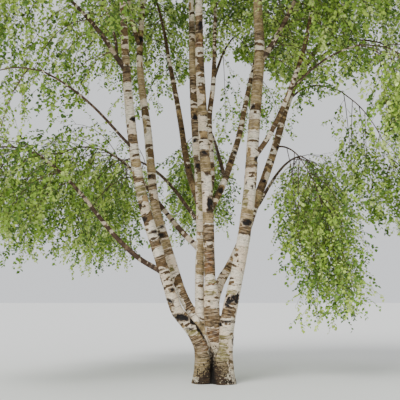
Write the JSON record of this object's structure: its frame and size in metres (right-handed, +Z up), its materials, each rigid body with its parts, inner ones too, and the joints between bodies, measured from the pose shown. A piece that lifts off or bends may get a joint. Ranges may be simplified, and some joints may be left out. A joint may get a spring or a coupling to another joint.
{
  "type": "birch tree",
  "caption": "Whole birch tree rooted in level ground: a short fused trunk forks low into a vase of pale upright stems, with arching boughs and an airy weeping crown.",
  "frame": {"origin": "middle of the flat cut under the trunk, at ground level", "axes": "+Z up along the tree's height, -Z out of the flat cut into the ground, +X to the picture viewer's right and +Y away from the viewer"},
  "size_m": [11.3874, 9.9754, 14.0867],
  "materials": {
    "bark": "pale peeling bark with darker patches and fine level lines",
    "bough_bark": "dull brown young bark",
    "foliage": "fresh green leaves with a soft sheen"
  },
  "bodies": {
    "root": {"trunk": "bark", "stem_left_outer": "bark", "stem_left_inner": "bark", "stem_left_fork": "bark", "stem_middle_left": "bark", "stem_middle_front": "bark", "stem_middle_back": "bark", "stem_right_main": "bark", "stem_right_outer": "bark", "stem_right_inner": "bark", "stem_back_left": "bark", "stem_back_right": "bark", "bough_low_left": "bough_bark", "bough_arch_left": "bough_bark", "bough_high_left": "bough_bark", "bough_high_left_rear": "bough_bark", "bough_right_high": "bough_bark", "bough_arch_right_low": "bough_bark", "bough_arch_right_middle": "bough_bark", "bough_arch_right_high": "bough_bark", "bough_hanging_right": "bough_bark", "bough_back_low_left": "bough_bark", "bough_back_low": "bough_bark", "bough_back_low_right": "bough_bark", "bough_back_high": "bough_bark", "bough_front": "bough_bark", "bough_front_left": "bough_bark", "bough_front_right": "bough_bark", "bough_low_front_right": "bough_bark", "bough_low_front_left": "bough_bark", "foliage_left_outer": "foliage", "foliage_left_inner": "foliage", "foliage_left_fork": "foliage", "foliage_middle_left": "foliage", "foliage_middle_front": "foliage", "foliage_middle_back": "foliage", "foliage_right_main": "foliage", "foliage_right_outer": "foliage", "foliage_right_inner": "foliage", "foliage_back_left": "foliage", "foliage_back_right": "foliage", "foliage_low_left": "foliage", "foliage_arch_left": "foliage", "foliage_high_left": "foliage", "foliage_high_left_rear": "foliage", "foliage_right_high": "foliage", "foliage_arch_right_low": "foliage", "foliage_arch_right_middle": "foliage", "foliage_arch_right_high": "foliage", "foliage_hanging_right": "foliage", "foliage_back_low_left": "foliage", "foliage_back_low": "foliage", "foliage_back_low_right": "foliage", "foliage_back_high": "foliage", "foliage_front": "foliage", "foliage_front_left": "foliage", "foliage_front_right": "foliage", "foliage_low_front_right": "foliage", "foliage_low_front_left": "foliage"}
  },
  "joints": []
}
